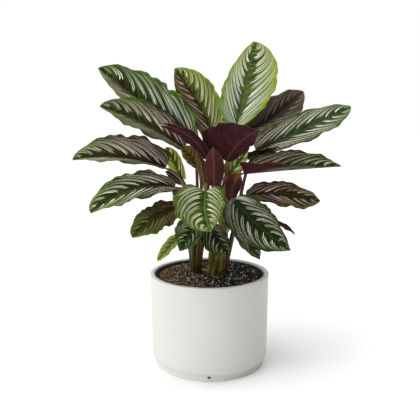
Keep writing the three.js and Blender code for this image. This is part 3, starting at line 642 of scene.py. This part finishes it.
def shoot_part():
    """The young side shoot, lying near the soil."""
    u = np.linspace(0, 1, 14)
    foot, tip = np.array(SHOOT_FOOT, float), np.array(SHOOT_TIP, float)
    line = foot + np.outer(u, tip - foot) + np.outer(np.sin(np.pi * u), [0, 0, 1])
    radii = SHOOT_RADIUS * np.clip(1.25 - u, 0.15, 1) ** 0.7
    return tube_part(tube(line, radii, 12), 0.95)


# ---- Pot, nursery pot and soil ----


def turned_part(profile):
    """A profile of (radius, height) turned about the vertical axis, up its outside."""
    rings = [ring(radius, height, TURN_SIDES) for radius, height in profile]
    ends = [[0, 0, profile[0][1]], [0, 0, profile[-1][1]]]
    return np.concatenate([*rings, ends]), capped_faces(len(rings), TURN_SIDES)


def arc(centre, radius, start, stop, steps):
    """Points of an arc in the profile, angles in degrees from +radius towards +height."""
    angles = np.radians(np.linspace(start, stop, steps))
    return [(centre[0] + radius[0] * np.cos(a), centre[1] + radius[1] * np.sin(a)) for a in angles]


def pot_outside():
    """The cachepot's profile from under its foot to the top of its rim."""
    profile = [(FOOT_RADIUS - 14, 0), (FOOT_RADIUS - 1, 0)]
    profile += arc((FOOT_RADIUS - FOOT_ROUND, FOOT_ROUND), (FOOT_ROUND, FOOT_ROUND), -80, 0, 5)
    profile += [(FOOT_RADIUS, FOOT_HEIGHT * k / 4) for k in (1, 2, 3)]
    profile += [(FOOT_RADIUS, FOOT_HEIGHT - 0.4), (FOOT_RADIUS + 0.15, FOOT_HEIGHT)]
    edge = (POT_LOW_RADIUS - FOOT_RADIUS, LOW_EDGE_HEIGHT)
    profile += arc((FOOT_RADIUS, EDGE_TOP), edge, -82, 0, 12)
    for k in range(1, 9):
        z = EDGE_TOP + (RIM_ROUND_FOOT - EDGE_TOP) * k / 9
        profile.append((POT_LOW_RADIUS + (POT_TOP_RADIUS - POT_LOW_RADIUS) * k / 9, z))
    return profile + arc((POT_TOP_RADIUS - RIM_ROUND, RIM_ROUND_FOOT), (RIM_ROUND, RIM_ROUND), 0, 90, 7)


def pot_inside():
    """The cachepot's profile from the top of its rim down to its floor."""
    inner = POT_TOP_RADIUS - RIM_THICKNESS
    profile = arc((inner + RIM_ROUND, RIM_ROUND_FOOT), (RIM_ROUND, RIM_ROUND), 90, 180, 7)
    foot = INNER_FOOT_RADIUS
    profile += [(inner - 0.6, 120), (inner - 2, 70), (foot + 4.5, EDGE_TOP)]
    return profile + [(foot, POT_FLOOR + 4), (foot - 3, POT_FLOOR), (40, POT_FLOOR)]


def cachepot(material):
    points, faces = turned_part(pot_outside() + pot_inside())
    pot = mesh_object("pot_ceramic", points, faces, [material])
    cut_overflow(pot)
    return pot


def cut_overflow(pot):
    """Cuts the small oval hole in the front of the foot."""
    bpy.ops.mesh.primitive_cylinder_add(vertices=40, radius=1, depth=1)
    bore = bpy.context.object
    bore.scale = (OVERFLOW_WIDTH / 2 * MM, OVERFLOW_HEIGHT / 2 * MM, 30 * MM)
    bore.rotation_euler = (math.pi / 2, 0, 0)
    bore.location = (0, -FOOT_RADIUS * MM, OVERFLOW_Z * MM)
    cut = pot.modifiers.new("overflow", "BOOLEAN")
    cut.object = bore
    cut.operation = "DIFFERENCE"
    cut.solver = "EXACT"
    graph = bpy.context.evaluated_depsgraph_get()
    made = bpy.data.meshes.new_from_object(pot.evaluated_get(graph))
    pot.modifiers.clear()
    pot.data = made
    bpy.data.objects.remove(bore)


def nursery_radius(height):
    """Radius of the nursery pot's wall between its base and its band."""
    spread = (NURSERY_BAND_RADIUS - NURSERY_BASE_RADIUS) * (height - NURSERY_FOOT)
    return NURSERY_BASE_RADIUS + spread / (NURSERY_BAND - NURSERY_FOOT)


def nursery_pot(material):
    low, band, top = NURSERY_FOOT, NURSERY_BAND, NURSERY_TOP
    base, wall, lip = NURSERY_BASE_RADIUS, NURSERY_WALL, NURSERY_LIP_RADIUS
    profile = [(20, low), (base - 2, low), (base, low + 1.5)]
    profile += [(nursery_radius(z), z) for z in (30, 60, 90, 120)]
    profile += [(nursery_radius(band), band - 0.6), (lip - 0.5, band - 0.3), (lip, band + 0.4)]
    profile += [(lip, top - 3.2), (lip + 0.3, top - 2.6), (lip + 0.3, top - 0.7)]
    profile += arc((lip - 0.35, top - 0.65), (0.65, 0.65), 0, 90, 5)
    profile += arc((lip - wall + 0.6, top - 0.6), (0.6, 0.6), 90, 180, 5)
    profile += [(lip - wall, band + 3), (lip - wall - 0.5, band + 1.6)]
    profile += [(nursery_radius(band) - wall, band), (base - wall, low + 2), (20, low + wall)]
    points, faces = turned_part(profile)
    return mesh_object("nursery_pot_plastic", points, faces, [material])


def soil_height(radius):
    return SOIL_EDGE + (SOIL_MIDDLE - SOIL_EDGE) * (1 - (radius / NURSERY_LIP_RADIUS) ** 2)


def lumps(x, y):
    """Swells and clods in the soil, in millimetres, that die out at its edge."""
    level = np.clip((SOIL_RADIUS - np.hypot(x, y)) / 12, 0.15, 1)
    return level * (
        1.3 * np.sin(x / 11.3 + 1.2) * np.cos(y / 8.3)
        + 0.9 * np.sin(x / 5.1 + y / 6.3 + 0.8 * np.sin(y / 4))
        + 0.6 * np.cos(x / 2.9 - y / 3.3 + 0.7)
        + 0.35 * np.sin(x / 1.7 + 1.9 * np.cos(y / 2.1))
    )


def soil_bed(material):
    """Soil with a lumpy top that fills the nursery pot."""
    radius, angle = np.linspace(0.5, SOIL_RADIUS, SOIL_RINGS), once_round(SOIL_SIDES)
    x, y = np.outer(radius, np.cos(angle)), np.outer(radius, np.sin(angle))
    top = np.stack([x, y, soil_height(np.hypot(x, y)) + lumps(x, y)], -1)
    walls = [
        ring(SOIL_RADIUS, NURSERY_BAND + 2.5, SOIL_SIDES),
        ring(nursery_radius(NURSERY_BAND) - 2.2, NURSERY_BAND - 1, SOIL_SIDES),
        ring(NURSERY_BASE_RADIUS - 2, 8, SOIL_SIDES),
    ]
    points = np.concatenate([top, walls]).reshape(-1, 3)
    last = SOIL_RINGS + len(walls) - 1
    faces = grid_faces(last, SOIL_SIDES, closed=True, flip=True)
    faces.append(tuple(range(SOIL_SIDES)))
    faces.append(tuple(last * SOIL_SIDES + j for j in reversed(range(SOIL_SIDES))))
    return mesh_object("soil_bed", points, faces, [material])


def grain_part(draw, centre, size, squash):
    """A rough pebble: an icosphere with its corners pushed in and out."""
    ball = bmesh.new()
    bmesh.ops.create_icosphere(ball, subdivisions=1, radius=1)
    turn = draw.uniform(0, 6.3)
    points = []
    for v in ball.verts:
        grow = size * draw.uniform(0.72, 1.15)
        x, y, z = v.co.x * grow * draw.uniform(0.9, 1.1), v.co.y * grow, v.co.z * grow * squash
        points.append((
            centre[0] + x * math.cos(turn) - y * math.sin(turn),
            centre[1] + x * math.sin(turn) + y * math.cos(turn),
            centre[2] + z,
        ))
    faces = [tuple(v.index for v in face.verts) for face in ball.faces]
    ball.free()
    seed = np.full((len(points), 2), draw.random())
    return np.array(points), faces, {"own": seed}


def scatter(name, grains, material):
    """Loose grains over the soil, kept out of the clumps."""
    draw = random.Random(grains["seed"])
    small, large = grains["sizes"]
    parts = []
    while len(parts) < grains["count"]:
        radius, angle = GRAIN_REACH * math.sqrt(draw.random()), draw.uniform(0, 2 * math.pi)
        x, y = radius * math.cos(angle), radius * math.sin(angle)
        size = small + (large - small) * draw.random() ** 2
        z = soil_height(radius) + float(lumps(x, y)) + size * grains["sink"]
        if not any(in_clump(shape, x, y) for shape in CLUMPS.values()):
            parts.append(grain_part(draw, (x, y, z), size, draw.uniform(0.55, 0.9)))
    points, faces, maps = gather(parts)
    return mesh_object(name, points, faces, [material], maps, smooth=False)


def in_clump(shape, x, y):
    u, v = (x - shape["x"]) / shape["half_width"], (y - shape["y"]) / shape["half_depth"]
    return u * u + v * v < 1


# ---- Materials ----


class Nodes:
    """A material with short names for the nodes that its pattern is written in."""

    def __init__(self, name):
        self.material = bpy.data.materials.new(name)
        self.material.use_nodes = True
        self.tree = self.material.node_tree
        self.shader = self.tree.nodes["Principled BSDF"]

    def put(self, socket, value):
        """Gives a socket a node's output, a number or the colour of a code."""
        if isinstance(value, bpy.types.NodeSocket):
            self.tree.links.new(value, socket)
        elif value is not None:
            socket.default_value = tone(value) if isinstance(value, str) else value

    def node(self, kind, inputs=(), **settings):
        made = self.tree.nodes.new("ShaderNode" + kind)
        for key, value in settings.items():
            setattr(made, key, value)
        for socket, value in zip(made.inputs, inputs):
            self.put(socket, value)
        return made

    def math(self, operation, a, b=None, clamp=False):
        return self.node("Math", (a, b), operation=operation, use_clamp=clamp).outputs[0]

    def add(self, a, b):
        return self.math("ADD", a, b)

    def sub(self, a, b):
        return self.math("SUBTRACT", a, b)

    def times(self, a, b):
        return self.math("MULTIPLY", a, b)

    def fade(self, value, low, high, to_low=0, to_high=1):
        """Smooth steps from to_low to to_high as value goes from low to high."""
        inputs = (value, low, high, to_low, to_high)
        return self.node("MapRange", inputs, interpolation_type="SMOOTHSTEP").outputs[0]

    def mix(self, share, first, second, blend="MIX"):
        inputs = (share, *[None] * 5, first, second)
        return self.node("Mix", inputs, data_type="RGBA", blend_type=blend).outputs[2]

    def uv(self, label):
        where = self.node("UVMap", uv_map=label)
        split = self.node("SeparateXYZ", (where.outputs[0],))
        return split.outputs[0], split.outputs[1]

    def spot(self, x=0, y=0, z=0):
        return self.node("CombineXYZ", (x, y, z)).outputs[0]

    def noise(self, vector, scale, detail=3, rough=0.5):
        return self.node("TexNoise", (vector, None, scale, detail, rough)).outputs["Fac"]

    def sway(self, vector, amount, scale, detail=3, rough=0.5):
        """Noise about nothing, up to half of amount to either side."""
        return self.times(self.sub(self.noise(vector, scale, detail, rough), 0.5), amount)

    def chance(self, x, y):
        """Three random numbers, always the same for one x and y."""
        made = self.node("TexWhiteNoise", (self.spot(x, y),), noise_dimensions="2D")
        return self.node("SeparateColor", (made.outputs["Color"],)).outputs

    def place(self):
        return self.node("TexCoord").outputs["Object"]

    def warm_side(self):
        """One where the soil is browner, to the left, and nothing to the right."""
        across = self.node("SeparateXYZ", (self.place(),)).outputs[0]
        return self.fade(self.add(across, self.sway(self.place(), 0.12, 28)), *WARM_EDGE, 1, 0)

    def bump(self, height, distance, strength=1):
        made = self.node("Bump", (strength, distance))
        self.put(made.inputs["Height"], height)
        self.put(self.shader.inputs["Normal"], made.outputs[0])

    def finish(self, colour, rough, specular):
        sockets = {"Base Color": colour, "Roughness": rough, "Specular IOR Level": specular}
        for label, value in sockets.items():
            self.put(self.shader.inputs[label], value)
        return self.material


def vein_field(n, look, seed):
    """Where a point lies among the side veins, and the patterns that follow them."""
    place, across = n.uv("vein")
    from_rib, from_edge = n.uv("reach")
    reach = n.math("ABSOLUTE", across)
    side = n.math("GREATER_THAN", across, 0)
    streak = n.spot(n.times(place, 30), n.times(reach, 1.6), seed)
    drift = n.sway(n.spot(n.times(place, 5), reach, seed), 0.8, 1, 2)
    count = n.add(n.add(n.times(place, look.pairs), n.times(side, 0.43)), drift)
    cell = n.math("FLOOR", count)
    fine = n.spot(n.times(count, 8), n.times(reach, 1.1), seed)
    return SimpleNamespace(
        place=place, reach=reach, side=side, from_rib=from_rib, from_edge=from_edge, streak=streak,
        cell=cell, share=n.sub(count, cell), jitter=n.sway(streak, 0.12, 1.6, 2, 0.6),
        threads=n.noise(fine, 1, 3, 0.6), seed=seed,
    )


def vein_strokes(n, look, at):
    """Three pale strokes along each side vein: a middle one, widest near the rib, and two finer."""
    strokes = 0
    for k, aside in enumerate((0, -look.apart, look.apart)):
        begin, weight, finish = n.chance(at.cell, n.add(at.side, at.seed + 0.37 * (k + 1)))[:3]
        start = n.add(n.times(begin, 0.2), look.start + (0.06 if k else 0))
        end = n.sub(1, n.times(finish, 0.15))
        run = n.math("DIVIDE", n.sub(at.reach, start), n.sub(end, start), clamp=True)
        middle = n.add(0.5, n.times(n.fade(at.reach, 0.05, 0.9, 0.75, 1), aside))
        off = n.math("ABSOLUTE", n.add(n.sub(at.share, middle), at.jitter))
        wide = n.times(n.add(n.times(weight, 0.7), 0.5), look.wide * (0.8 if k else 1))
        taper = n.times(n.fade(run, 0, 0.16, 0.25, 1), n.fade(run, 0.3, 1, 1, 0.5))
        if not k:
            blot = n.times(n.fade(run, 0.15, 0.55, look.blot, 0), finish)
            taper = n.times(taper, n.add(1, blot))
        wide = n.times(wide, taper)
        stroke = n.fade(off, n.times(wide, 0.6), wide, 1, 0)
        stroke = n.times(stroke, n.times(n.fade(run, 0, 0.05), n.fade(run, 0.88, 1, 1, 0)))
        stroke = n.times(stroke, n.fade(weight, 0, 0.6, 0.5 if k else 0.8, 1))
        strokes = n.math("MAXIMUM", strokes, stroke)
    return strokes


def leaf_ground(n, look, at, paint):
    """The ground, darkest beside the midrib and in spindles between the veins."""
    first, second = n.chance(at.cell, n.add(at.side, at.seed))[:2]
    from_border = n.sub(0.5, n.math("ABSOLUTE", n.sub(at.share, 0.5)))
    spindle = n.fade(from_border, 0.02, n.fade(at.reach, 0.1, 1, 0.34, 0.2), 1, 0)
    start, stop = n.add(n.times(first, 0.2), 0.05), n.add(n.times(second, 0.35), 0.4)
    middle = n.fade(at.reach, start, stop, 1, 0)
    dark = n.math("MAXIMUM", n.times(spindle, n.fade(at.reach, 0.6, 1, 0.95, 0.2)), middle)
    dark = n.times(dark, n.fade(at.threads, 0.35, 0.6, 1, 0.6))
    ground = n.mix(dark, paint("green"), paint("dark"))
    seam, seamed = look.seam
    ground = n.mix(n.times(n.fade(at.threads, 0.5, 0.3, 0, 0.8), seamed), ground, seam)
    border = n.fade(at.from_edge, 0.6, look.border, 1, 0)
    ground = n.mix(n.times(border, n.sub(1, n.times(spindle, 0.5))), ground, paint("edge"))
    if look.base:
        basal, *stretch = look.base
        ground = n.mix(n.fade(n.add(at.place, n.times(at.reach, 0.1)), *stretch, 0.8, 0), ground, basal)
    return n.mix(n.times(n.fade(at.threads, 0.5, 0.68), look.threads), ground, paint("outer"))


def sheen(n, look, at, colour):
    """A highlight painted into the colour: a soft pale patch on one half of the blade."""
    place, half, amount, half_lit = look.sheen
    near = n.math("ABSOLUTE", n.sub(n.add(at.place, n.times(at.jitter, 0.2)), place))
    band = n.times(n.fade(near, half * 0.3, half, amount, 0), n.fade(at.reach, 0.12, 0.4))
    band = n.times(band, n.fade(at.threads, 0.3, 0.6, 0.45, 1))
    lit = n.times(n.math("COMPARE", at.side, half_lit), n.fade(at.reach, 0.6, 0.8, 1, 0))
    return n.mix(n.times(band, lit), colour, "dde5de")


def striped_leaf(name, look, seed):
    """The upper side: pale strokes along the side veins on a feathered green ground."""
    n = Nodes(name)
    at = vein_field(n, look, seed)

    # Left of the midrib the colours of look.left take over: partly that half's own tint, partly painted
    # light and shade for the way that half faces the light.
    def paint(key):
        here, other = getattr(look, key), (look.left or {}).get(key)
        return n.mix(at.side, other, here) if other else here

    stroke = vein_strokes(n, look, at)
    stroke = n.times(stroke, n.fade(n.noise(at.streak, 0.8, 2), 0.25, 0.6, 0.75, 1))
    stroke = n.times(stroke, n.fade(at.place, *look.tip, 1, 0.15))
    pale = n.mix(n.fade(n.add(at.reach, at.place), 0.5, 1.3), paint("inner"), paint("outer"))
    colour = n.mix(stroke, leaf_ground(n, look, at, paint), pale)
    colour = n.mix(n.fade(at.from_rib, 0.4, 1, look.ribbed, 0), colour, look.rib)
    # A highlight painted into the colour on one half, for the looks that have one.
    if look.sheen:
        colour = sheen(n, look, at, colour)
    if look.root:
        root, *stretch = look.root
        colour = n.mix(n.fade(n.add(at.place, n.times(at.jitter, 0.8)), *stretch, 0.85, 0), colour, root)
    cloud = n.fade(n.noise(at.streak, 0.5, 4), 0.25, 0.75, 0.72, 1.18)
    shade = n.node("CombineColor", (cloud, cloud, cloud)).outputs[0]
    colour = n.mix(1, colour, shade, "MULTIPLY")
    n.bump(n.add(at.threads, stroke), 0.0003, 0.3)
    rough = n.fade(n.noise(at.streak, 1.5), 0.3, 0.7, 0.32, 0.45)
    return n.finish(colour, rough, 0.04)


def leaf_under(name, code, tip_code, start, end):
    """The underside: dull wine red with finer lines along the veins, and its tip's own colour."""
    n = Nodes(name)
    place, across = n.uv("vein")
    from_rib, from_edge = n.uv("reach")
    veins = n.noise(n.spot(n.times(place, 34), n.times(across, 1.5), 5), 1, 2, 0.6)
    patch = n.noise(n.spot(n.times(place, 40), n.times(across, 3)), 0.6, 5)
    reached = n.add(place, n.times(n.sub(patch, 0.5), 0.3))
    body = n.mix(n.fade(reached, start, end), code, tip_code)
    deep = n.mix(1, body, "8f837c", "MULTIPLY")
    light = n.mix(0.2, body, "b39684")
    colour = n.mix(n.fade(patch, 0.3, 0.7), deep, body)
    flush = n.fade(n.noise(n.place(), 28, 2), 0.48, 0.68, 0, 0.3)
    colour = n.mix(flush, colour, "4c1a2c")
    colour = n.mix(n.fade(veins, 0.5, 0.75, 0, 0.22), colour, light)
    colour = n.mix(n.fade(from_rib, 0.4, 1.1, 0.4, 0), colour, light)
    colour = n.mix(n.times(n.fade(from_edge, 0.3, 1.3, 1, 0), 0.45), colour, "5b5a2a")
    n.bump(veins, 0.0006, 0.4)
    return n.finish(colour, 0.48, 0.11)


def stalk_skin(name, dull, fresh):
    """dull to fresh low down, redder and greener further up, with lines along each stalk."""
    n = Nodes(name)
    around, along = n.uv("grain")
    seed, height = n.uv("own")
    lines = n.noise(n.spot(n.times(around, 34), n.times(along, 3), seed), 1, 4)
    patch = n.noise(n.place(), 45, 4)
    low = n.mix(n.fade(n.add(n.times(patch, 0.6), n.times(seed, 0.4)), 0.3, 0.7), dull, fresh)
    high = n.mix(n.fade(seed, 0.2, 0.8), "643322", "76702e")
    colour = n.mix(n.fade(height, 0.16, 0.30), low, high)
    colour = n.mix(n.times(n.fade(lines, 0.42, 0.7), 0.6), colour, "1a120c")
    colour = n.mix(n.fade(along, 0.88, 0.95), colour, "6a4a2b")
    n.bump(lines, 0.0008, 0.6)
    return n.finish(colour, 0.42, 0.4)


def ceramic():
    """Matt white glaze with a faint grain."""
    n = Nodes("ceramic_glaze")
    cloud = n.noise(n.place(), 9, 4)
    grain = n.noise(n.place(), 900, 3, 0.6)
    colour = n.mix(n.fade(cloud, 0.3, 0.7), "d0d0ca", "d4d4cf")
    n.bump(grain, 0.0002, 0.12)
    rough = n.fade(cloud, 0.3, 0.7, 0.42, 0.5)
    return n.finish(colour, rough, 0.4)


def dark_plastic():
    n = Nodes("nursery_plastic")
    grain = n.noise(n.place(), 500, 3, 0.6)
    dust = n.fade(n.noise(n.place(), 60, 5), 0.45, 0.8)
    colour = n.mix(n.times(dust, 0.5), "232424", "4a4946")
    n.bump(grain, 0.0003, 0.25)
    return n.finish(colour, 0.5, 0.5)


def soil_mix():
    n = Nodes("potting_mix")
    crumb = n.noise(n.place(), 380, 6, 0.65)
    colour = n.mix(n.fade(crumb, 0.35, 0.7), "080705", "2c2821")
    colour = n.mix(n.times(n.fade(crumb, 0.3, 0.7), n.warm_side()), colour, "503b24")
    n.bump(crumb, 0.003, 0.9)
    return n.finish(colour, 0.95, 0.08)


def pebble(name, codes, rough):
    """Grains in one of a few colours each."""
    n = Nodes(name)
    seed, _ = n.uv("own")
    colour = codes[0]
    for k, code in enumerate(codes[1:], 1):
        step = k / len(codes)
        colour = n.mix(n.fade(seed, step - 0.02, step + 0.02), colour, code)
    colour = n.mix(n.times(n.warm_side(), 0.45), colour, "a08c66")
    speck = n.noise(n.place(), 900, 4)
    colour = n.mix(n.times(n.fade(speck, 0.4, 0.7), 0.5), colour, "2b2926")
    n.bump(speck, 0.0006, 0.5)
    return n.finish(colour, rough, 0.15)


# ---- The plant ----


def keep(piece, slot, *nodes):
    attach(piece, "root")
    if nodes:
        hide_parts(*nodes)


def dress_leaves():
    unders = {}
    for number, (name, leaf) in enumerate(LEAVES.items()):
        look = LOOKS.get(name, PLAIN_LOOK)
        codes = (look.under, look.under_tip or look.under, *look.under_from)
        if codes not in unders:
            unders[codes] = leaf_under(f"leaf_under_{len(unders)}", *codes)
        node = "leaf_" + name
        upper = striped_leaf(node + "_upper", look, number * 3.7 + 0.5)
        keep(blade(node + "_blade", leaf, look, [upper, unders[codes]]), "leaf", node)


def dress_stems():
    for name, shape in CLUMPS.items():
        skin = stalk_skin(name + "_skin", *STALK_COLOURS[name])
        keep(clump(name, shape, skin), "stem", name)


def dress_pot():
    keep(cachepot(ceramic()), "ceramic", "cachepot")
    keep(nursery_pot(dark_plastic()), "plastic", "nursery_pot")
    keep(soil_bed(soil_mix()), "soil", "soil")
    for name, grains in GRAINS.items():
        material = pebble(name, grains["colours"], grains["rough"])
        keep(scatter("soil_" + name, grains, material), "soil")


# ---- Camera, light and floor ----

CAMERA_PLACE = (0.00092, -1, 0.4263)
CAMERA_PITCH = 10.07
CAMERA_LENS = 55
SENSOR_WIDTH = 36
SURROUND = 0.12
LAMP_SPREAD = 60
FLOOR_HALF = 6e3
LAMPS = {
    "low_left": dict(energy=1.67, side=-45, height=25),
    "high_left": dict(energy=2.07, side=-90, height=60),
    "high_behind": dict(energy=1.58, side=135, height=60),
}


def camera():
    data = bpy.data.cameras.new("camera")
    data.lens = CAMERA_LENS
    data.sensor_width = SENSOR_WIDTH
    body = stand("camera", data)
    body.location = CAMERA_PLACE
    body.rotation_euler = (math.radians(90 - CAMERA_PITCH), 0, 0)
    bpy.context.scene.camera = body


def studio():
    """Three broad soft lamps, and white paper behind that the camera sees."""
    world = bpy.data.worlds.new("studio")
    bpy.context.scene.world = world
    world.use_nodes = True
    tree = world.node_tree
    fill, paper = tree.nodes["Background"], tree.nodes.new("ShaderNodeBackground")
    for white, strength in ((fill, SURROUND), (paper, 1)):
        white.inputs["Color"].default_value = (1, 1, 1, 1)
        white.inputs["Strength"].default_value = strength
    seen = tree.nodes.new("ShaderNodeLightPath").outputs["Is Camera Ray"]
    both = tree.nodes.new("ShaderNodeMixShader")
    for socket, source in zip(both.inputs, (seen, fill.outputs[0], paper.outputs[0])):
        tree.links.new(source, socket)
    tree.links.new(both.outputs[0], tree.nodes["World Output"].inputs["Surface"])
    for name, lamp in LAMPS.items():
        data = bpy.data.lights.new(name, "SUN")
        data.energy = lamp["energy"]
        data.angle = math.radians(LAMP_SPREAD)
        turn = math.radians(90 - lamp["height"]), 0, math.radians(lamp["side"])
        stand(name, data).rotation_euler = turn


def floor():
    n = Nodes("floor")
    shade = n.fade(n.noise(n.place(), 0.7), 0.3, 0.7)
    colour = n.mix(shade, "f5f5f4", "f7f7f7")
    paper = n.finish(colour, 0.9, 0.1)
    points = [(x * FLOOR_HALF, y * FLOOR_HALF, 0) for x, y in ((-1, -1), (1, -1), (1, 1), (-1, 1))]
    mesh_object("floor", points, [(0, 1, 2, 3)], [paper])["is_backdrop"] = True


camera()
studio()
floor()
bpy.context.scene.view_settings.view_transform = "Standard"
dress_pot()
dress_stems()
dress_leaves()

visual_box = [list(corner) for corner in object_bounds()]
